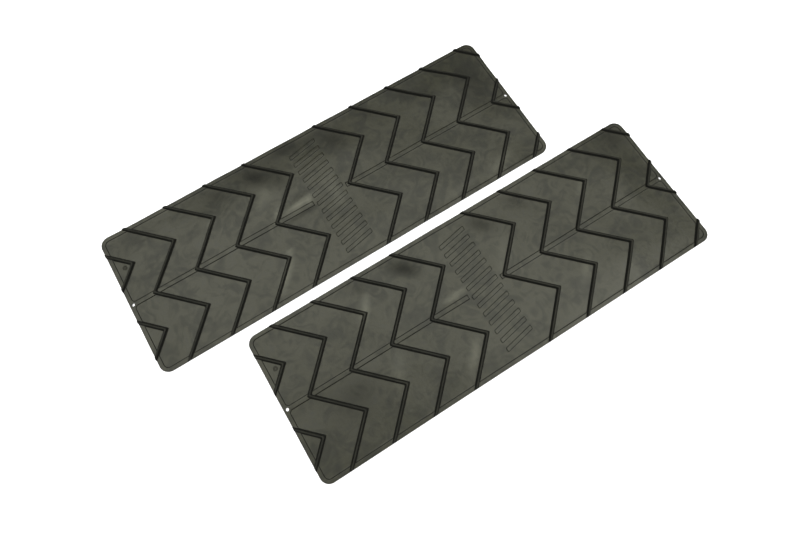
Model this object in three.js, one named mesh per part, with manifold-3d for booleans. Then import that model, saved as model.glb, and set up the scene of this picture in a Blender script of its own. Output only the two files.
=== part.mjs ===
// A pair of moulded rubber tyre traction mats, in millimetres, +Z up.
// +X runs along the mats in the direction that the chevron ribs point, and +Y is to the left of it.
// The origin is on the ground, under the middle of the pair. Each mat is one homogeneous moulding:
// a thin sheet with a raised border and spine, zigzag ribs, a band of plain bars and two end holes.

import * as THREE from 'three';
import Module from 'manifold-3d';
import { mergeVertices } from 'three/addons/utils/BufferGeometryUtils.js';

// Outline of one mat
const MAT_LENGTH = 840;
const MAT_WIDTH = 290;
const CORNER_RADIUS = 18;

// Sheet, with the border along its outline and the spine along its middle standing proud
const PANEL_THICKNESS = 3;
const BORDER_RISE = 0.7;
const BORDER_WIDTH = 8;
const SPINE_WIDTH = 8.6;
const PANEL_CORNER_BY_HOLE = 7;

// Zigzag ribs: two chevrons side by side, pointing along +X
const RIB_HEIGHT = 4.5;
const RIB_TOP_WIDTH = 2.8;
const RIB_FOOT_WIDTH = 7.6;
const RIB_PITCH = 84.5;
const RIB_ANGLE = THREE.MathUtils.degToRad(45);
const RIB_SHORTEST = 12;
const RIB_ROOT_DEPTH = 1.5;

// Blank band across the middle of the mat, with a row of low slanted bars. The spine reaches a
// little way into it from both sides.
const BAND_LENGTH = 87;
const SPINE_REACH = 7;
const BAR_END_CLEARANCE = 12.5;
const BAR_WIDTH = 9;
const BAR_GAP = 9.5;
const BAR_LEAN = 12;
const BAR_RISE = 0.8;
const BAR_MARGIN = 16;

// Hanging holes, one at each end on the spine
const HOLE_DIAMETER = 6;
const HOLE_WALL = 3.5;

// Shallow round mark that the mould leaves near the rear end, in line with the left rib tips
const MOULD_MARK_DIAMETER = 9;
const MOULD_MARK_DEPTH = 0.4;
const MOULD_MARK_INSET = 22;

// How the two mats lie beside each other
const MAT_GAP = 20;
const MAT_STAGGER = 151;

// Facets on arcs, and how far a cutter runs past what it cuts
const ARC_STEPS = 4;
const ROUND_STEPS = 24;
const CUT_MARGIN = 1;

const HALF_LENGTH = MAT_LENGTH / 2;
const HALF_WIDTH = MAT_WIDTH / 2;
const BORDER_TOP = PANEL_THICKNESS + BORDER_RISE;
const RIB_TOP = PANEL_THICKNESS + RIB_HEIGHT;
const MAT_PITCH = MAT_WIDTH + MAT_GAP;

const wasm = await Module();
wasm.setup();

function solidOf(geometry) {
  const bare = geometry.clone();
  bare.deleteAttribute('normal');
  bare.deleteAttribute('uv');
  const merged = mergeVertices(bare);
  const vertProperties = new Float32Array(merged.attributes.position.array);
  const triVerts = new Uint32Array(merged.index.array);
  return new wasm.Manifold(new wasm.Mesh({ numProp: 3, vertProperties, triVerts }));
}

function geometryOf(solid) {
  const mesh = solid.getMesh();
  const geometry = new THREE.BufferGeometry();
  geometry.setAttribute('position', new THREE.BufferAttribute(mesh.vertProperties, 3));
  geometry.setIndex(new THREE.BufferAttribute(mesh.triVerts, 1));
  geometry.computeVertexNormals();
  return geometry;
}

// A rectangle whose corners at its low-y side and at its high-y side have their own radius.
function roundedRectangle(lowX, highX, lowY, highY, lowRadius, highRadius) {
  const shape = new THREE.Shape();
  shape.moveTo(lowX + lowRadius, lowY);
  shape.lineTo(highX - lowRadius, lowY);
  shape.absarc(highX - lowRadius, lowY + lowRadius, lowRadius, -Math.PI / 2, 0);
  shape.lineTo(highX, highY - highRadius);
  shape.absarc(highX - highRadius, highY - highRadius, highRadius, 0, Math.PI / 2);
  shape.lineTo(lowX + highRadius, highY);
  shape.absarc(lowX + highRadius, highY - highRadius, highRadius, Math.PI / 2, Math.PI);
  shape.lineTo(lowX, lowY + lowRadius);
  shape.absarc(lowX + lowRadius, lowY + lowRadius, lowRadius, Math.PI, Math.PI * 1.5);
  return shape;
}

// The outline raised from one height to another.
function prism(shape, bottom, top) {
  const depth = top - bottom;
  const geometry = new THREE.ExtrudeGeometry(shape, {
    depth,
    bevelEnabled: false,
    curveSegments: ARC_STEPS,
  });
  geometry.translate(0, 0, bottom);
  return solidOf(geometry);
}

function outline(top) {
  const shape = roundedRectangle(
    -HALF_LENGTH, HALF_LENGTH, -HALF_WIDTH, HALF_WIDTH, CORNER_RADIUS, CORNER_RADIUS,
  );
  return prism(shape, 0, top);
}

// The two recessed panels, one on each side of the spine, and the gap in the spine that joins them
// in the band. Their outer corners follow the mat's own corners, and the ones beside the spine
// leave room for the end holes.
function panelRecesses() {
  const endX = HALF_LENGTH - BORDER_WIDTH;
  const outerRadius = Math.max(CORNER_RADIUS - BORDER_WIDTH, CUT_MARGIN);
  const leftPanel = roundedRectangle(
    -endX, endX, SPINE_WIDTH / 2, HALF_WIDTH - BORDER_WIDTH, PANEL_CORNER_BY_HOLE, outerRadius,
  );
  const rightPanel = roundedRectangle(
    -endX, endX, BORDER_WIDTH - HALF_WIDTH, -SPINE_WIDTH / 2, outerRadius, PANEL_CORNER_BY_HOLE,
  );
  const gapX = BAND_LENGTH / 2 - SPINE_REACH;
  const gapY = SPINE_WIDTH / 2 + CUT_MARGIN;
  const spineGap = new THREE.Shape([
    new THREE.Vector2(-gapX, -gapY),
    new THREE.Vector2(gapX, -gapY),
    new THREE.Vector2(gapX, gapY),
    new THREE.Vector2(-gapX, gapY),
  ]);
  const top = BORDER_TOP + CUT_MARGIN;
  return prism(leftPanel, PANEL_THICKNESS, top)
    .add(prism(rightPanel, PANEL_THICKNESS, top))
    .add(prism(spineGap, PANEL_THICKNESS, top));
}

// How far a rib has run along +X where it is y from the spine: its tips are at the quarter
// lines, and its roots are on the spine and at the long edges.
function ribAdvance(y) {
  return Math.min(Math.abs(y), HALF_WIDTH - Math.abs(y)) / Math.tan(RIB_ANGLE);
}

const TIP_REACH = ribAdvance(HALF_WIDTH / 2);

// One zigzag rib, its root at rootX. The section is a trapezoid on a short straight root. It is
// extruded across the mat with a station at each quarter line, and each station slides along X.
function zigzagRib(rootX) {
  const halfTop = RIB_TOP_WIDTH / 2 / Math.sin(RIB_ANGLE);
  const halfFoot = RIB_FOOT_WIDTH / 2 / Math.sin(RIB_ANGLE);
  const section = new THREE.Shape([
    new THREE.Vector2(-halfFoot, PANEL_THICKNESS - RIB_ROOT_DEPTH),
    new THREE.Vector2(halfFoot, PANEL_THICKNESS - RIB_ROOT_DEPTH),
    new THREE.Vector2(halfFoot, PANEL_THICKNESS),
    new THREE.Vector2(halfTop, RIB_TOP),
    new THREE.Vector2(-halfTop, RIB_TOP),
    new THREE.Vector2(-halfFoot, PANEL_THICKNESS),
  ]);
  const quarters = 6;
  const span = (quarters * MAT_WIDTH) / 4;
  const geometry = new THREE.ExtrudeGeometry(section, {
    depth: span,
    steps: quarters,
    bevelEnabled: false,
  });
  geometry.rotateX(Math.PI / 2);
  geometry.translate(0, span / 2, 0);
  const position = geometry.attributes.position;
  for (let i = 0; i < position.count; i += 1) {
    position.setX(i, position.getX(i) + rootX + ribAdvance(position.getY(i)));
  }
  return solidOf(geometry);
}

// The ribs' roots, working outwards from the blank band until a rib would hardly show.
function ribRoots() {
  const roots = [];
  const lastBehind = -BAND_LENGTH / 2 - TIP_REACH;
  const firstAhead = BAND_LENGTH / 2;
  for (let x = lastBehind; x + TIP_REACH > RIB_SHORTEST - HALF_LENGTH; x -= RIB_PITCH) {
    roots.push(x);
  }
  for (let x = firstAhead; x < HALF_LENGTH - RIB_SHORTEST; x += RIB_PITCH) {
    roots.push(x);
  }
  return roots;
}

// The row of plain bars that fills the blank band, as many as the width has room for.
function bandBars() {
  const endX = BAND_LENGTH / 2 - BAR_END_CLEARANCE;
  const pitch = BAR_WIDTH + BAR_GAP;
  const room = MAT_WIDTH - 2 * BAR_MARGIN - BAR_LEAN + BAR_GAP;
  const count = Math.floor(room / pitch);
  const bars = [];
  for (let i = 0; i < count; i += 1) {
    const y = (i - (count - 1) / 2) * pitch;
    const bar = new THREE.Shape([
      new THREE.Vector2(-endX, y - (BAR_WIDTH + BAR_LEAN) / 2),
      new THREE.Vector2(endX, y - (BAR_WIDTH - BAR_LEAN) / 2),
      new THREE.Vector2(endX, y + (BAR_WIDTH + BAR_LEAN) / 2),
      new THREE.Vector2(-endX, y + (BAR_WIDTH - BAR_LEAN) / 2),
    ]);
    bars.push(prism(bar, PANEL_THICKNESS / 2, PANEL_THICKNESS + BAR_RISE));
  }
  return bars;
}

// An upright round cutter from one height up past the top of the ribs.
function roundCutter(diameter, x, y, bottom) {
  const height = RIB_TOP + CUT_MARGIN - bottom;
  const cutter = new THREE.CylinderGeometry(diameter / 2, diameter / 2, height, ROUND_STEPS);
  cutter.rotateX(Math.PI / 2);
  cutter.translate(x, y, bottom + height / 2);
  return solidOf(cutter);
}

function endHoles() {
  const x = HALF_LENGTH - HOLE_WALL - HOLE_DIAMETER / 2;
  return [-x, x].map((holeX) => roundCutter(HOLE_DIAMETER, holeX, 0, -CUT_MARGIN));
}

// The mark is cut in the bare panel, so a rib that reaches it lies over it.
function mouldMark() {
  const x = MOULD_MARK_INSET - HALF_LENGTH;
  const floor = PANEL_THICKNESS - MOULD_MARK_DEPTH;
  return roundCutter(MOULD_MARK_DIAMETER, x, HALF_WIDTH / 2, floor);
}

function matGeometry() {
  const limits = outline(RIB_TOP);
  let mat = outline(BORDER_TOP).subtract(panelRecesses()).subtract(mouldMark());
  for (const bar of bandBars()) {
    mat = mat.add(bar);
  }
  for (const root of ribRoots()) {
    mat = mat.add(zigzagRib(root).intersect(limits));
  }
  for (const hole of endHoles()) {
    mat = mat.subtract(hole);
  }
  return geometryOf(mat);
}

function mouldedRubber() {
  return new THREE.MeshStandardMaterial({ color: '#3d3d36', roughness: 0.62, metalness: 0 });
}

const oneMat = matGeometry();

// side is +1 for the left mat and -1 for the right one, which lies further along +X.
function tractionMat(name, side) {
  const mat = new THREE.Mesh(oneMat, mouldedRubber());
  mat.name = name;
  mat.position.set((-side * MAT_STAGGER) / 2, (side * MAT_PITCH) / 2, 0);
  return mat;
}

const tyreTractionMats = new THREE.Group();
tyreTractionMats.name = 'tyre_traction_mats';
tyreTractionMats.add(tractionMat('left_mat', 1));
tyreTractionMats.add(tractionMat('right_mat', -1));

export default tyreTractionMats;
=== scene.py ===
"""A pair of moulded rubber tyre traction mats, lying on a pale floor.

The frame gives each mat's place and outer size. The meshes here stand for the two CAD solids and
add what a mould and a floor give real rubber: rounded edges, draft, fillets and a slightly wavy lie.
"""

import math

import bmesh
import bpy
from mathutils import Matrix, Vector, noise


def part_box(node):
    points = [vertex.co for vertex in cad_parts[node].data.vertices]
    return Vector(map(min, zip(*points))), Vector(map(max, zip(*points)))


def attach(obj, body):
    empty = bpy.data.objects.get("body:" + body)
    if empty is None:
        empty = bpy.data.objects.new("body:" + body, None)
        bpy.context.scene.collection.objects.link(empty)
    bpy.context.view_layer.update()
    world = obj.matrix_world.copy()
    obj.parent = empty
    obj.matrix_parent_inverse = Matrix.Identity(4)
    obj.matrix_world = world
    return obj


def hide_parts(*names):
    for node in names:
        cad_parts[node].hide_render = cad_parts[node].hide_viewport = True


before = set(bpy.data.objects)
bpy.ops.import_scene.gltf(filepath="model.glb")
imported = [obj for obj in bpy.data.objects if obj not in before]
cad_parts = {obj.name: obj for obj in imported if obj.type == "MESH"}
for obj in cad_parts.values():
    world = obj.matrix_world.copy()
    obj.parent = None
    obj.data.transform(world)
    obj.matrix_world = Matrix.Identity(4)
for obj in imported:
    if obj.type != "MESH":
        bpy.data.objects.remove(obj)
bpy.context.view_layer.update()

MM = 0.001

# One mat: its outer size comes from the frame, and its own sizes match the CAD solid's
MAT_LOW, MAT_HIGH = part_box("left_mat")
MAT_LENGTH = MAT_HIGH.x - MAT_LOW.x
MAT_WIDTH = MAT_HIGH.y - MAT_LOW.y
RIB_TOP = MAT_HIGH.z
CORNER_RADIUS = 18 * MM

# Sheet, with the border along its outline and the spine along its middle standing proud
PANEL_TOP = 3 * MM
BORDER_TOP = 3.7 * MM
BORDER_WIDTH = 8 * MM
SPINE_WIDTH = 8.6 * MM
PANEL_CORNER_BY_HOLE = 7 * MM
PANEL_WALL_SPREAD = 1.6 * MM
SHEET_EDGE = 0.3 * MM

# Zigzag ribs
RIB_TOP_WIDTH = 2.8 * MM
RIB_FOOT_WIDTH = 7.6 * MM
RIB_CREST_RADIUS = 0.7 * MM
RIB_FILLET = 0.8 * MM
RIB_PITCH = 84.5 * MM
RIB_ANGLE = math.radians(45)
RIB_SHORTEST = 12 * MM
RIB_ROOT = 1.5 * MM
RIB_FOOT_SINK = 0.02 * MM
RIB_TURN = 1 * MM
RIB_END_SETBACK = 0.15 * MM
RIB_END_RADIUS = 1 * MM

# Blank band across the middle of the mat, with a row of low slanted bars
BAND_LENGTH = 87 * MM
SPINE_REACH = 7 * MM
BAR_END_CLEARANCE = 12.5 * MM
BAR_WIDTH = 9 * MM
BAR_GAP = 9.5 * MM
BAR_LEAN = 12 * MM
BAR_TOP = 3.8 * MM
BAR_MARGIN = 16 * MM
BAR_CORNER = 2 * MM
BAR_WALL_SPREAD = 1.3 * MM

# Holes at the ends and the ring that the mould leaves near the rear end
HOLE_RADIUS = 3 * MM
HOLE_WALL = 3.5 * MM
HOLE_EDGE = 0.3 * MM
MARK_RADIUS = 4.5 * MM
MARK_CORE = 1.2 * MM
MARK_DEPTH = 0.4 * MM
MARK_INSET = 22 * MM

# How finely curves are cut, and the lattice that lets the flat sheet bend
EDGE_STEPS = 2
RIB_STEPS = 3
CORNER_STEPS = 12
ROUND_STEPS = 48
LATTICE = 6 * MM

# Cutters reach this far past what they cut, edges are picked by place with this slack, and points
# nearer than these distances count as one
CUT_MARGIN = 1 * MM
PICK_SLACK = 0.05 * MM
MERGE_DISTANCE = 0.002 * MM
CUT_TOLERANCE = 0.001 * MM

FLAT_ANGLE = math.radians(0.5)
SHARP_ANGLE = math.radians(30)
SHADING_ANGLE = math.radians(35)


def mesh_piece(name, bm):
    """Turns a bmesh into an object in the scene."""
    mesh = bpy.data.meshes.new(name)
    bm.to_mesh(mesh)
    bm.free()
    piece = bpy.data.objects.new(name, mesh)
    bpy.context.scene.collection.objects.link(piece)
    return piece


def new_verts(result):
    return [part for part in result["geom"] if isinstance(part, bmesh.types.BMVert)]


def add_block(bm, low, high, low_radius, high_radius):
    """A block whose upright edges are rounded, with one radius on its low-y side and one on the other."""
    face_verts = bmesh.ops.create_grid(bm, x_segments=1, y_segments=1, size=0.5)["verts"]
    size = high - low
    middle = (low + high) / 2
    bmesh.ops.scale(bm, vec=(size.x, size.y, 1), verts=face_verts)
    bmesh.ops.translate(bm, vec=(middle.x, middle.y, low.z), verts=face_verts)
    face = face_verts[0].link_faces[0]
    low_corners = [v for v in face_verts if v.co.y < middle.y]
    high_corners = [v for v in face_verts if v.co.y > middle.y]
    for corners, radius in ((low_corners, low_radius), (high_corners, high_radius)):
        rounded = bmesh.ops.bevel(
            bm, geom=corners, offset=radius, segments=CORNER_STEPS,
            profile=0.5, affect="VERTICES", material=-1,
        )
        face = rounded["verts"][0].link_faces[0]
    raised = new_verts(bmesh.ops.extrude_face_region(bm, geom=[face]))
    bmesh.ops.translate(bm, vec=(0, 0, size.z), verts=raised)


def block(low, high, low_radius, high_radius):
    bm = bmesh.new()
    add_block(bm, low, high, low_radius, high_radius)
    bmesh.ops.recalc_face_normals(bm, faces=bm.faces)
    return bm


def sharp_edges(bm, keep=lambda edge: True):
    """The edges where two faces meet at more than the sharp angle."""
    return [e for e in bm.edges if e.is_manifold and e.calc_face_angle() > SHARP_ANGLE and keep(e)]


def round_edges(bm, edges, radius, segments):
    bmesh.ops.bevel(
        bm, geom=edges, offset=radius, segments=segments,
        profile=0.5, affect="EDGES", material=-1, clamp_overlap=True,
    )


def combine(target, tool, operation):
    """Joins, cuts or trims one closed mesh with another, and drops the tool."""
    modifier = target.modifiers.new(operation, "BOOLEAN")
    modifier.operation = operation
    modifier.solver = "EXACT"
    modifier.object = tool
    depsgraph = bpy.context.evaluated_depsgraph_get()
    result = bpy.data.meshes.new_from_object(target.evaluated_get(depsgraph))
    target.modifiers.clear()
    target.data = result
    bpy.data.objects.remove(tool)


def edit(piece, change):
    """Runs a change on a piece's mesh as a bmesh."""
    bm = bmesh.new()
    bm.from_mesh(piece.data)
    change(bm)
    bm.to_mesh(piece.data)
    bm.free()


# ---------------------------------------------------------------- the sheet


def panel_cutter():
    """What the mould's plate takes out of the sheet: two long panels, joined in the blank band."""
    spread = PANEL_WALL_SPREAD / 2
    end_x = MAT_LENGTH / 2 - BORDER_WIDTH + spread
    side_low = SPINE_WIDTH / 2 - spread
    side_high = MAT_WIDTH / 2 - BORDER_WIDTH + spread
    outer_radius = CORNER_RADIUS - BORDER_WIDTH
    top = BORDER_TOP + CUT_MARGIN
    recess = bmesh.new()
    add_block(
        recess,
        Vector((-end_x, side_low, PANEL_TOP)), Vector((end_x, side_high, top)),
        PANEL_CORNER_BY_HOLE, outer_radius,
    )
    add_block(
        recess,
        Vector((-end_x, -side_high, PANEL_TOP)), Vector((end_x, -side_low, top)),
        outer_radius, PANEL_CORNER_BY_HOLE,
    )
    bmesh.ops.recalc_face_normals(recess, faces=recess.faces)
    panels = mesh_piece("panels", recess)
    gap = Vector((BAND_LENGTH / 2 - SPINE_REACH + spread, SPINE_WIDTH / 2 + CUT_MARGIN, 0))
    spine_gap = block(
        Vector((-gap.x, -gap.y, PANEL_TOP)), Vector((gap.x, gap.y, top)), SHEET_EDGE, SHEET_EDGE,
    )
    combine(panels, mesh_piece("spine_gap", spine_gap), "UNION")
    edit(panels, merge_flat_faces)
    edit(panels, lambda bm: slope_walls(bm, PANEL_TOP, BORDER_TOP - PANEL_TOP, PANEL_WALL_SPREAD))
    return panels


def sheet():
    """The sheet with its border and spine, before anything is put on it."""
    low = Vector((-MAT_LENGTH / 2, -MAT_WIDTH / 2, 0))
    high = Vector((MAT_LENGTH / 2, MAT_WIDTH / 2, BORDER_TOP))
    body = mesh_piece("sheet", block(low, high, CORNER_RADIUS, CORNER_RADIUS))
    combine(body, panel_cutter(), "DIFFERENCE")
    edit(body, lambda bm: round_edges(bm, outer_edges(bm), SHEET_EDGE, EDGE_STEPS))
    combine(body, mesh_piece("mark", mark_ring()), "DIFFERENCE")
    return body


def merge_flat_faces(bm):
    bmesh.ops.dissolve_limit(
        bm, angle_limit=FLAT_ANGLE, use_dissolve_boundaries=False, verts=bm.verts, edges=bm.edges,
    )


def slope_walls(bm, level, rise, spread):
    """Gives the walls that end at one level their draft: a wide chamfer, cut while they are stretched."""
    to_level = Matrix.Translation((0, 0, -level))
    bmesh.ops.scale(bm, vec=(1, 1, spread / rise), space=to_level, verts=bm.verts)
    rim = sharp_edges(bm, lambda e: all(abs(v.co.z - level) < PICK_SLACK for v in e.verts))
    round_edges(bm, rim, spread, 1)
    bmesh.ops.scale(bm, vec=(1, 1, rise / spread), space=to_level, verts=bm.verts)


def outer_edges(bm):
    """The mat's own rims, top and bottom."""
    inner_x = MAT_LENGTH / 2 - CORNER_RADIUS
    inner_y = MAT_WIDTH / 2 - CORNER_RADIUS
    rim = CORNER_RADIUS - PICK_SLACK
    rims = []
    for edge in sharp_edges(bm):
        over = [Vector((max(abs(v.co.x) - inner_x, 0), max(abs(v.co.y) - inner_y, 0))) for v in edge.verts]
        if min(away.length for away in over) > rim:
            rims.append(edge)
    return rims


def mark_ring():
    """The cutter for the ring: a small upright face spun round the ring's axis."""
    bm = bmesh.new()
    centre = Vector((MARK_INSET - MAT_LENGTH / 2, MAT_WIDTH / 4, PANEL_TOP))
    corners = (
        (MARK_CORE, -MARK_DEPTH), (MARK_RADIUS, -MARK_DEPTH),
        (MARK_RADIUS + MARK_DEPTH, MARK_DEPTH), (MARK_CORE - MARK_DEPTH, MARK_DEPTH),
    )
    face = bm.faces.new([bm.verts.new(centre + Vector((x, 0, z))) for x, z in corners])
    bmesh.ops.spin(
        bm, geom=[face], cent=centre, axis=(0, 0, 1), dvec=(0, 0, 0),
        angle=math.tau, steps=ROUND_STEPS, use_merge=True,
    )
    inside = [f for f in bm.faces if len(f.edges) == 4 and all(len(e.link_faces) > 2 for e in f.edges)]
    bmesh.ops.delete(bm, geom=inside, context="FACES_ONLY")
    bmesh.ops.recalc_face_normals(bm, faces=bm.faces)
    return bm


# ---------------------------------------------------------------- ribs and bars


def rib_advance(y):
    """How far a rib has run along +X at y from the spine."""
    reach = MAT_WIDTH / 2
    across = abs(y)
    while across > reach:
        across = abs(across - 2 * reach)
    return min(across, reach - across) / math.tan(RIB_ANGLE)


def rib_stations():
    """Where a rib's section stands: just before and just after each turn of the zigzag."""
    quarter = MAT_WIDTH / 4
    stations = [-3 * quarter]
    for turn in range(-2, 3):
        stations += [turn * quarter - RIB_TURN, turn * quarter + RIB_TURN]
    return stations + [3 * quarter]


def add_rib(bm, root_x):
    """A zigzag rib: its section, with a rounded crest and filleted foot, drawn along the stations."""
    half_top = RIB_TOP_WIDTH / 2 / math.sin(RIB_ANGLE)
    half_foot = RIB_FOOT_WIDTH / 2 / math.sin(RIB_ANGLE)
    skirt = half_foot + 2 * RIB_FILLET
    skirt_top = PANEL_TOP - RIB_FOOT_SINK
    section = (
        (-skirt, PANEL_TOP - RIB_ROOT), (skirt, PANEL_TOP - RIB_ROOT),
        (skirt, skirt_top), (half_foot, skirt_top), (half_top, RIB_TOP),
        (-half_top, RIB_TOP), (-half_foot, skirt_top), (-skirt, skirt_top),
    )
    stations = rib_stations()
    verts = [bm.verts.new((x, stations[0], z)) for x, z in section]
    bm.faces.new(verts)
    feet = [verts[3], verts[6]]
    crests = [verts[4], verts[5]]
    for corners, radius in ((feet, RIB_FILLET), (crests, RIB_CREST_RADIUS)):
        rounded = bmesh.ops.bevel(
            bm, geom=corners, offset=radius, segments=RIB_STEPS,
            profile=0.5, affect="VERTICES", material=-1,
        )
    face = rounded["verts"][0].link_faces[0]
    bmesh.ops.translate(bm, vec=(root_x + rib_advance(stations[0]), 0, 0), verts=face.verts)
    for before, after in zip(stations, stations[1:]):
        result = bmesh.ops.extrude_face_region(bm, geom=[face])
        slide = rib_advance(after) - rib_advance(before)
        bmesh.ops.translate(bm, vec=(slide, after - before, 0), verts=new_verts(result))
        if before > stations[0]:
            bmesh.ops.delete(bm, geom=[face], context="FACES_ONLY")
        face = next(part for part in result["geom"] if isinstance(part, bmesh.types.BMFace))


def rib_roots():
    """The ribs' roots, working outwards from the blank band until a rib would hardly show."""
    half_length = MAT_LENGTH / 2
    tip_reach = rib_advance(MAT_WIDTH / 4)
    roots = []
    x = -BAND_LENGTH / 2 - tip_reach
    while x + tip_reach > RIB_SHORTEST - half_length:
        roots.append(x)
        x -= RIB_PITCH
    x = BAND_LENGTH / 2
    while x < half_length - RIB_SHORTEST:
        roots.append(x)
        x += RIB_PITCH
    return roots


def add_bars(bm):
    """The row of plain slanted bars, as many as the width has room for."""
    end_x = BAND_LENGTH / 2 - BAR_END_CLEARANCE
    pitch = BAR_WIDTH + BAR_GAP
    count = math.floor((MAT_WIDTH - 2 * BAR_MARGIN - BAR_LEAN + BAR_GAP) / pitch)
    for index in range(count):
        y = (index - (count - 1) / 2) * pitch
        before = set(bm.verts)
        low = Vector((-end_x, y - BAR_WIDTH / 2, PANEL_TOP / 2))
        high = Vector((end_x, y + BAR_WIDTH / 2, BAR_TOP))
        add_block(bm, low, high, BAR_CORNER, BAR_CORNER)
        for vert in set(bm.verts) - before:
            vert.co.y += vert.co.x / end_x * BAR_LEAN / 2


def raised_work():
    """Everything that stands on the sheet: the ribs, trimmed to the outline, and the bars."""
    ribs = bmesh.new()
    for root_x in rib_roots():
        add_rib(ribs, root_x)
    bmesh.ops.recalc_face_normals(ribs, faces=ribs.faces)
    raised = mesh_piece("raised", ribs)
    edge = Vector((MAT_LENGTH / 2 - RIB_END_SETBACK, MAT_WIDTH / 2 - RIB_END_SETBACK, 0))
    radius = CORNER_RADIUS - RIB_END_SETBACK
    limits = block(
        Vector((-edge.x, -edge.y, -CUT_MARGIN)), Vector((edge.x, edge.y, RIB_TOP + RIB_END_SETBACK)),
        radius, radius,
    )
    top_rim = sharp_edges(limits, lambda e: all(v.co.z > RIB_TOP for v in e.verts))
    round_edges(limits, top_rim, RIB_END_RADIUS, RIB_STEPS)
    combine(raised, mesh_piece("limits", limits), "INTERSECT")
    bars = bmesh.new()
    add_bars(bars)
    bmesh.ops.recalc_face_normals(bars, faces=bars.faces)
    slope_walls(bars, BAR_TOP, BAR_TOP - PANEL_TOP, BAR_WALL_SPREAD)
    combine(raised, mesh_piece("bars", bars), "UNION")
    return raised


# ---------------------------------------------------------------- holes, and the whole mat


def hole_centres():
    x = MAT_LENGTH / 2 - HOLE_WALL - HOLE_RADIUS
    return [Vector((-x, 0, 0)), Vector((x, 0, 0))]


def hole_cutters():
    bm = bmesh.new()
    height = RIB_TOP + 2 * CUT_MARGIN
    for centre in hole_centres():
        rim = bmesh.ops.create_cone(
            bm, cap_ends=True, segments=ROUND_STEPS, radius1=HOLE_RADIUS, radius2=HOLE_RADIUS, depth=height,
        )
        bmesh.ops.translate(bm, vec=centre + Vector((0, 0, height / 2 - CUT_MARGIN)), verts=rim["verts"])
    return bm


def on_hole_rim(edge):
    for centre in hole_centres():
        away = [(vert.co.xy - centre.xy).length for vert in edge.verts]
        if max(away) < HOLE_RADIUS + PICK_SLACK:
            return True
    return False


def mat_template():
    """One whole mat round the origin, flat, and cut finely enough to bend."""
    mat = sheet()
    combine(mat, raised_work(), "UNION")
    combine(mat, mesh_piece("hole_cutters", hole_cutters()), "DIFFERENCE")
    bm = bmesh.new()
    bm.from_mesh(mat.data)
    bpy.data.objects.remove(mat)
    bmesh.ops.remove_doubles(bm, verts=bm.verts, dist=MERGE_DISTANCE)
    round_edges(bm, sharp_edges(bm, on_hole_rim), HOLE_EDGE, EDGE_STEPS)
    bmesh.ops.triangulate(bm, faces=bm.faces)
    for axis, span in ((Vector((1, 0, 0)), MAT_LENGTH), (Vector((0, 1, 0)), MAT_WIDTH)):
        cuts = math.floor(span / LATTICE)
        for index in range(1, cuts):
            place = axis * (index / cuts - 0.5) * span
            geometry = bm.verts[:] + bm.edges[:] + bm.faces[:]
            bmesh.ops.bisect_plane(bm, geom=geometry, dist=CUT_TOLERANCE, plane_co=place, plane_no=axis)
    bmesh.ops.dissolve_degenerate(bm, dist=CUT_TOLERANCE, edges=bm.edges)
    height = bm.verts.layers.float.new("height")
    for vert in bm.verts:
        vert[height] = vert.co.z / MM
    return bm


# How each mat lies: soft humps as (x, y, half length, half width, turn in degrees, height), with
# lengths in millimetres from the mat's own middle
LEFT_MAT_HUMPS = (
    (-190, 55, 95, 62, 0, 4.6),
    (-60, 72, 110, 46, -6, 3.0),
    (60, 72, 90, 46, 0, 2.6),
    (-62, 16, 36, 9, 12, 1.5),
    (-205, -82, 40, 11, 58, 1.5),
    (-150, 30, 30, 12, 50, 1.0),
    (-120, -80, 120, 60, 0, 1.6),
    (335, 80, 70, 48, 20, 3.8),
    (160, -60, 150, 70, 0, 1.2),
    (-360, -20, 60, 90, 0, 1.0),
)
RIGHT_MAT_HUMPS = (
    (-40, 10, 130, 90, 0, 1.6),
    (-60, 10, 36, 10, -15, 1.2),
    (-300, -95, 90, 60, 15, 2.2),
    (-240, 92, 70, 46, 0, 1.4),
    (-150, 100, 34, 14, 40, 1.2),
    (60, 95, 60, 40, 0, 1.6),
    (330, 70, 80, 60, 0, 2.6),
    (250, -90, 110, 50, 0, 2.0),
)
RIPPLE_LENGTH = 62 * MM
RIPPLE_HEIGHT = 1.3 * MM
BOW_LENGTH = 420 * MM
BOW_DEPTH = 1.2 * MM

# Painted highlights (above 0), set where creases would catch the light, and painted shade (below 0), set
# beside
# # ribs and on patches that would lie in shade, laid out like the humps
LEFT_MAT_PAINTED_LIGHT = (
    (-60, 13, 30, 6, 6, 0.8),
    (-42, 8, 9, 5, 60, 0.5),
    (-108, 16, 16, 5, 48, 0.5),
    (-146, -96, 32, 7, 48, 0.7),
    (-114, 58, 26, 12, 50, 0.3),
    (-222, 66, 10, 6, 40, 0.5),
    (-124, -62, 8, 6, 0, 0.6),
    (12, -6, 14, 40, 0, 0.25),
    (318, -118, 34, 9, 20, 0.4),
    (230, -124, 40, 7, 4, 0.25),
    (-62, -8, 34, 4, 3, -0.6),
    (-108, 106, 30, 15, -44, -0.8),
    (-68, 78, 12, 22, 0, -0.35),
    (-30, 128, 50, 13, 0, -0.55),
    (62, 100, 30, 17, -44, -0.6),
    (-190, 112, 26, 13, -44, -0.4),
    (150, 112, 26, 13, -44, -0.35),
    (232, 112, 26, 13, -44, -0.3),
    (370, 66, 36, 52, 0, -0.5),
)
RIGHT_MAT_PAINTED_LIGHT = (
    (-206, 84, 28, 8, 52, 0.6),
    (-56, 15, 26, 5, 4, 0.6),
    (-84, -92, 30, 8, 48, 0.5),
    (-210, -40, 32, 12, 60, 0.3),
    (180, -70, 26, 8, 46, 0.3),
    (270, 66, 22, 8, 44, 0.3),
    (60, 30, 40, 12, 50, 0.2),
    (-300, -44, 46, 34, 0, -0.4),
    (-108, 108, 30, 14, -44, -0.7),
    (60, 106, 28, 15, -44, -0.5),
    (146, 108, 26, 13, -44, -0.35),
    (-194, 116, 24, 12, -44, -0.3),
    (386, 116, 26, 24, -40, -0.5),
)


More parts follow.
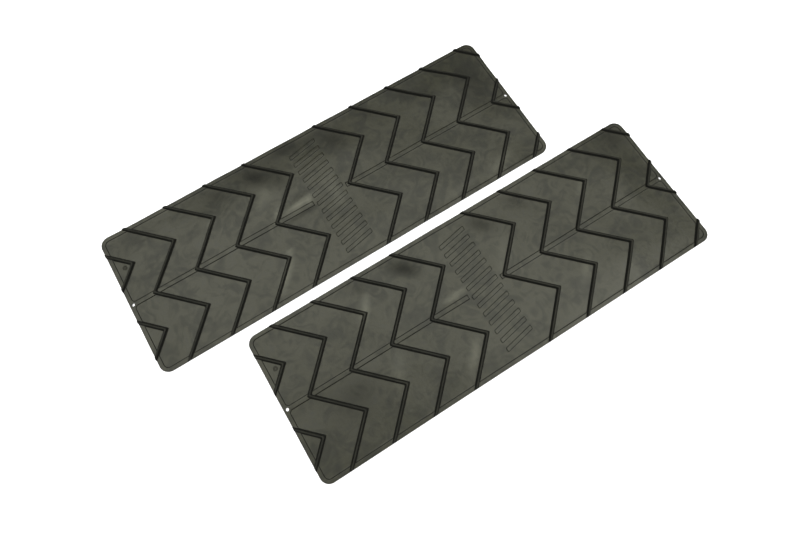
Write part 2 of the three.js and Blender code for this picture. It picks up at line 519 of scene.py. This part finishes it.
def soft_spots(x, y, spots):
    """The sum at one place of soft elongated spots, each fading away from its middle."""
    total = 0
    for middle_x, middle_y, half_length, half_width, turn, amount in spots:
        away = Vector((x / MM - middle_x, y / MM - middle_y))
        away.rotate(Matrix.Rotation(-math.radians(turn), 2))
        total += amount * math.exp(-(away.x / half_length) ** 2 - (away.y / half_width) ** 2)
    return total


# One seed for each mat's ripple and bow, so that the two lie differently and always the same way
LEFT_MAT_SEED = 3
RIGHT_MAT_SEED = 11


def lift(x, y, humps, seed):
    """How far the rubber stands off the floor: its humps and a fine ripple."""
    ripple = RIPPLE_HEIGHT * noise.noise(Vector((x / RIPPLE_LENGTH, y / RIPPLE_LENGTH, seed)))
    return ripple + MM * soft_spots(x, y, humps)


def bow(x, seed):
    """How far the long edges stray sideways, because the sheet never lies quite straight."""
    return BOW_DEPTH * noise.noise(Vector((x / BOW_LENGTH, seed, 0)))


def lay_mat(template, name, node, humps, painted_light_spots, seed):
    """Copies the flat mat to a CAD node's place and lets it lie as rubber does.

    Each mat's node and body have the same name.
    """
    bm = template.copy()
    # Painted highlights and painted shade spots, kept on each point for the material
    painted_light_and_shade = bm.verts.layers.float.new("painted_light_and_shade")
    for vert in bm.verts:
        vert[painted_light_and_shade] = soft_spots(vert.co.x, vert.co.y, painted_light_spots)
    low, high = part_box(node)
    centre = (low + high) / 2
    lifts = {vert: lift(vert.co.x, vert.co.y, humps, seed) for vert in bm.verts}
    lowest = min(lifts.values())
    for vert, raised in lifts.items():
        vert.co += Vector((centre.x, centre.y + bow(vert.co.x, seed), raised - lowest))
    mat = mesh_piece(name, bm)
    for polygon in mat.data.polygons:
        polygon.use_smooth = True
    mat.data.set_sharp_from_angle(angle=SHADING_ANGLE)
    normals = mat.modifiers.new("even normals", "WEIGHTED_NORMAL")
    normals.keep_sharp = True
    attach(mat, node)
    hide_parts(node)
    return mat


# ---------------------------------------------------------------- materials


def linear(hex_colour):
    """An sRGB hex colour as linear RGBA."""
    channels = [int(hex_colour[i:i + 2], 16) / 255 for i in (1, 3, 5)]
    return [c / 12.92 if c <= 0.04045 else ((c + 0.055) / 1.055) ** 2.4 for c in channels] + [1]


def add_node(tree, kind, links, **settings):
    """Adds a node, with its settings, and its inputs from other nodes' outputs or as plain values."""
    node = tree.nodes.new(kind)
    for name, value in settings.items():
        setattr(node, name, value)
    for name, source in links.items():
        if isinstance(source, bpy.types.NodeSocket):
            tree.links.new(source, node.inputs[name])
        else:
            node.inputs[name].default_value = source
    return node


# Sizes in the rubber's surface: patches and swirls of bloom, shallow dimples left by the press, and
# the mould's blasted grain, really about 0.1 mm but drawn coarser because it would be too fine to show
PATCH_SIZE = 75 * MM
SWIRL_SIZE = 34 * MM
DIMPLE_SIZE = 11 * MM
DIMPLE_DEPTH = 0.45 * MM
GRAIN_SIZE = 0.8 * MM
GRAIN_DEPTH = 0.03 * MM

# The step walls and the ribs' flanks are painted near-black. This is partly bare compound, where bloom
# doesn't hold,
# # and partly painted shade, which draws the walls as dark lines on every side and darkens the flanks. The
# share of
# # bloom over it goes by height above the mat's underside in millimetres: the panels, the border and the
# bars hold
# # it, and the crests a little
RUBBER_IOR = 1.52
SHINE_TINT = "#fffff0"
BARE_AND_SHADED_WALL_COLOUR = "#050604"
BARE_ROUGHNESS = 0.95
BLOOM_AND_WALL_SHADE_BY_HEIGHT = (
    (2.85, 0.5), (2.95, 1.0), (3.02, 1.0), (3.1, 0.0), (3.6, 0.0), (3.68, 1.0),
    (3.81, 1.0), (3.9, 0.0), (7.3, 0.0), (7.45, 0.34),
)
HEIGHT_FROM = 2.5
HEIGHT_TO = 7.5

# Bloom from thin to thick, then the painted highlights on creases and the painted shade spots
BLOOM_COLOURS = ((0.3, "#1f201a"), (0.44, "#292a20"), (0.56, "#37372a"), (0.7, "#32332a"))
BLOOM_THIN = 0.36
BLOOM_THICK = 0.64
THIN_ROUGHNESS = 0.42
THICK_ROUGHNESS = 0.35
PAINTED_HIGHLIGHT_COLOUR = "#9c9c88"
PAINTED_HIGHLIGHT_SHARE = 0.42
PAINTED_SHADE_COLOUR = "#0a0b0a"
PAINTED_SHADE_ROUGHNESS = 0.9


def set_ramp(ramp, stops):
    """Gives a colour ramp its stops, each a place and a colour."""
    elements = ramp.color_ramp.elements
    while len(elements) < len(stops):
        elements.new(1)
    for element, (place, colour) in zip(elements, stops):
        element.position = place
        element.color = colour


def moulded_rubber():
    """Black SBR sheet as it leaves a press: dark compound under a thin uneven bloom of wax.

    The bloom greys the flat faces and takes a broad, hazy shine. The ribs' flanks and the step walls are
    near-black, partly bare compound and partly painted shade. Painted highlights and painted shade spots
    stand in for how creases take the light.
    """
    material = bpy.data.materials.new("moulded_rubber")
    material.use_nodes = True
    tree = material.node_tree
    shader = tree.nodes["Principled BSDF"]
    shader.inputs["IOR"].default_value = RUBBER_IOR
    shader.inputs["Specular Tint"].default_value = linear(SHINE_TINT)
    place = add_node(tree, "ShaderNodeTexCoord", {}).outputs["Object"]

    # Painted shade: by height, the walls and the flanks take the near-black colour and the flat faces take
    # the bloom
    height = add_node(tree, "ShaderNodeAttribute", {}, attribute_name="height").outputs["Fac"]
    level = add_node(tree, "ShaderNodeMapRange", {
        "Value": height, "From Min": HEIGHT_FROM, "From Max": HEIGHT_TO, "To Min": 0, "To Max": 1,
    }).outputs["Result"]
    bloom_and_shade_ramp = add_node(tree, "ShaderNodeValToRGB", {"Fac": level})
    set_ramp(bloom_and_shade_ramp, [
        ((at - HEIGHT_FROM) / (HEIGHT_TO - HEIGHT_FROM), (share, share, share, 1))
        for at, share in BLOOM_AND_WALL_SHADE_BY_HEIGHT
    ])
    bloom_not_wall_shade = bloom_and_shade_ramp.outputs["Color"]

    patches = add_node(tree, "ShaderNodeTexNoise", {
        "Vector": place, "Scale": 1 / PATCH_SIZE, "Detail": 2.5, "Roughness": 0.5, "Distortion": 1.2,
    }).outputs["Fac"]
    swirls = add_node(tree, "ShaderNodeTexNoise", {
        "Vector": place, "Scale": 1 / SWIRL_SIZE, "Detail": 1.5, "Roughness": 0.5, "Distortion": 2.2,
    }).outputs["Fac"]
    cloud = add_node(tree, "ShaderNodeMix", {"Factor": 0.5, "A": patches, "B": swirls}).outputs["Result"]
    tone = add_node(tree, "ShaderNodeValToRGB", {"Fac": cloud})
    set_ramp(tone, [(at, linear(colour)) for at, colour in BLOOM_COLOURS])

    # Painted highlights lighten the tone; painted shade spots darken it and make it duller
    painted_light_and_shade = add_node(tree, "ShaderNodeAttribute", {}, attribute_name="painted_light_and_shade").outputs["Fac"]
    painted_highlight = add_node(tree, "ShaderNodeMapRange", {
        "Value": painted_light_and_shade, "From Min": 0, "From Max": 1, "To Min": 0, "To Max": PAINTED_HIGHLIGHT_SHARE,
    }).outputs["Result"]
    painted_shade = add_node(tree, "ShaderNodeMapRange", {
        "Value": painted_light_and_shade, "From Min": 0, "From Max": -1, "To Min": 0, "To Max": 1,
    }).outputs["Result"]
    highlighted = add_node(tree, "ShaderNodeMix", {
        "Factor": painted_highlight, "A": tone.outputs["Color"], "B": linear(PAINTED_HIGHLIGHT_COLOUR),
    }, data_type="RGBA").outputs["Result"]
    tone_with_painted_light = add_node(tree, "ShaderNodeMix", {
        "Factor": painted_shade, "A": highlighted, "B": linear(PAINTED_SHADE_COLOUR),
    }, data_type="RGBA").outputs["Result"]
    # Painted shade on the walls and flanks: mixes to the near-black colour wherever the height ramp is low
    base = add_node(tree, "ShaderNodeMix", {
        "Factor": bloom_not_wall_shade, "A": linear(BARE_AND_SHADED_WALL_COLOUR), "B": tone_with_painted_light,
    }, data_type="RGBA")
    tree.links.new(base.outputs["Result"], shader.inputs["Base Color"])

    shine = add_node(tree, "ShaderNodeMapRange", {
        "Value": cloud, "From Min": BLOOM_THIN, "From Max": BLOOM_THICK,
        "To Min": THIN_ROUGHNESS, "To Max": THICK_ROUGHNESS,
    }).outputs["Result"]
    dulled = add_node(tree, "ShaderNodeMix", {
        "Factor": painted_shade, "A": shine, "B": PAINTED_SHADE_ROUGHNESS,
    }).outputs["Result"]
    rough = add_node(tree, "ShaderNodeMix", {"Factor": bloom_not_wall_shade, "A": BARE_ROUGHNESS, "B": dulled})
    tree.links.new(rough.outputs["Result"], shader.inputs["Roughness"])

    dimples = add_node(tree, "ShaderNodeTexNoise", {
        "Vector": place, "Scale": 1 / DIMPLE_SIZE, "Detail": 2, "Roughness": 0.5,
    }).outputs["Fac"]
    grain = add_node(tree, "ShaderNodeTexNoise", {
        "Vector": place, "Scale": 1 / GRAIN_SIZE, "Detail": 1,
    }).outputs["Fac"]
    uneven = add_node(tree, "ShaderNodeBump", {"Height": dimples, "Strength": 1, "Distance": DIMPLE_DEPTH})
    pressed = add_node(tree, "ShaderNodeBump", {
        "Height": grain, "Strength": 1, "Distance": GRAIN_DEPTH, "Normal": uneven.outputs["Normal"],
    })
    tree.links.new(pressed.outputs["Normal"], shader.inputs["Normal"])
    return material


# ---------------------------------------------------------------- floor, light and camera


FLOOR_HALF_SIZE = 4
FLOOR_COLOUR = "#f2f2f2"
FLOOR_ROUGHNESS = 0.9
FLOOR_GLOW = 0.85


def pale_floor():
    """Matt white paper, lit through from below so that it stays plain and almost free of shadows."""
    material = bpy.data.materials.new("matt_paper")
    material.use_nodes = True
    shader = material.node_tree.nodes["Principled BSDF"]
    shader.inputs["Base Color"].default_value = linear(FLOOR_COLOUR)
    shader.inputs["Roughness"].default_value = FLOOR_ROUGHNESS
    shader.inputs["Emission Color"].default_value = (1, 1, 1, 1)
    shader.inputs["Emission Strength"].default_value = FLOOR_GLOW
    bm = bmesh.new()
    bmesh.ops.create_grid(bm, x_segments=1, y_segments=1, size=FLOOR_HALF_SIZE)
    floor = mesh_piece("floor", bm)
    floor.data.materials.append(material)


def soft_light(name, position, target, size, power):
    """A round softbox that looks at its target."""
    data = bpy.data.lights.new(name, "AREA")
    data.shape = "DISK"
    data.size = size
    data.energy = power
    light = bpy.data.objects.new(name, data)
    light.location = position
    light.rotation_euler = (Vector(target) - Vector(position)).to_track_quat("-Z", "Y").to_euler()
    bpy.context.scene.collection.objects.link(light)


# Large round softboxes over the mats: name, place over the floor in metres, power in watts
SOFTBOX_HEIGHT = 2.4
SOFTBOX_SIZE = 2.2
SOFTBOXES = (
    ("right", (1.0, 0), 13.5),
    ("far_right", (0.7, 0.7), 7.7),
    ("far", (0, 1.0), 5.7),
    ("far_left", (-0.7, 0.7), 13),
    ("far_left_outer", (-1.4, 1.4), 12.4),
    ("left", (-1.8, -0.8), 12),
    ("near_right", (1.35, -1.35), 33),
)

# The backdrop looks as white as the floor, but sheds hardly any light of its own
WORLD_LIGHT = 0.02
BACKDROP_LIGHT = 1


def studio():
    world = bpy.data.worlds.new("studio")
    world.use_nodes = True
    background = world.node_tree.nodes["Background"]
    background.inputs["Color"].default_value = (1, 1, 1, 1)
    seen = add_node(world.node_tree, "ShaderNodeLightPath", {}).outputs["Is Camera Ray"]
    strength = add_node(world.node_tree, "ShaderNodeMix", {
        "Factor": seen, "A": WORLD_LIGHT, "B": BACKDROP_LIGHT,
    }).outputs["Result"]
    world.node_tree.links.new(strength, background.inputs["Strength"])
    bpy.context.scene.world = world
    bpy.context.scene.view_settings.view_transform = "Standard"
    for name, place, power in SOFTBOXES:
        soft_light(name, (*place, SOFTBOX_HEIGHT), (0, 0, 0), SOFTBOX_SIZE, power)


# The camera's place, as a turn and a height round the point it looks at, and its lens and film in mm
CAMERA_AIM = Vector((-0.0361, -0.0387, 0))
CAMERA_DISTANCE = 0.9474
CAMERA_AZIMUTH = math.radians(-31.76)
CAMERA_ELEVATION = math.radians(75.19)
CAMERA_LENS = 22.78
CAMERA_FILM = 36
CAMERA_CLIP = 0.01


def camera():
    data = bpy.data.cameras.new("camera")
    data.lens = CAMERA_LENS
    data.sensor_width = CAMERA_FILM
    data.clip_start = CAMERA_CLIP
    view = bpy.data.objects.new("camera", data)
    back = Vector((
        math.sin(CAMERA_AZIMUTH) * math.cos(CAMERA_ELEVATION),
        -math.cos(CAMERA_AZIMUTH) * math.cos(CAMERA_ELEVATION),
        math.sin(CAMERA_ELEVATION),
    ))
    view.location = CAMERA_AIM + back * CAMERA_DISTANCE
    view.rotation_euler = back.to_track_quat("Z", "Y").to_euler()
    bpy.context.scene.collection.objects.link(view)
    bpy.context.scene.camera = view


camera()
studio()
pale_floor()
rubber = moulded_rubber()
flat_mat = mat_template()
for name, node, humps, painted_light_spots, seed in (
    ("left_mat_rubber", "left_mat", LEFT_MAT_HUMPS, LEFT_MAT_PAINTED_LIGHT, LEFT_MAT_SEED),
    ("right_mat_rubber", "right_mat", RIGHT_MAT_HUMPS, RIGHT_MAT_PAINTED_LIGHT, RIGHT_MAT_SEED),
):
    mat = lay_mat(flat_mat, name, node, humps, painted_light_spots, seed)
    mat.data.materials.append(rubber)
flat_mat.free()
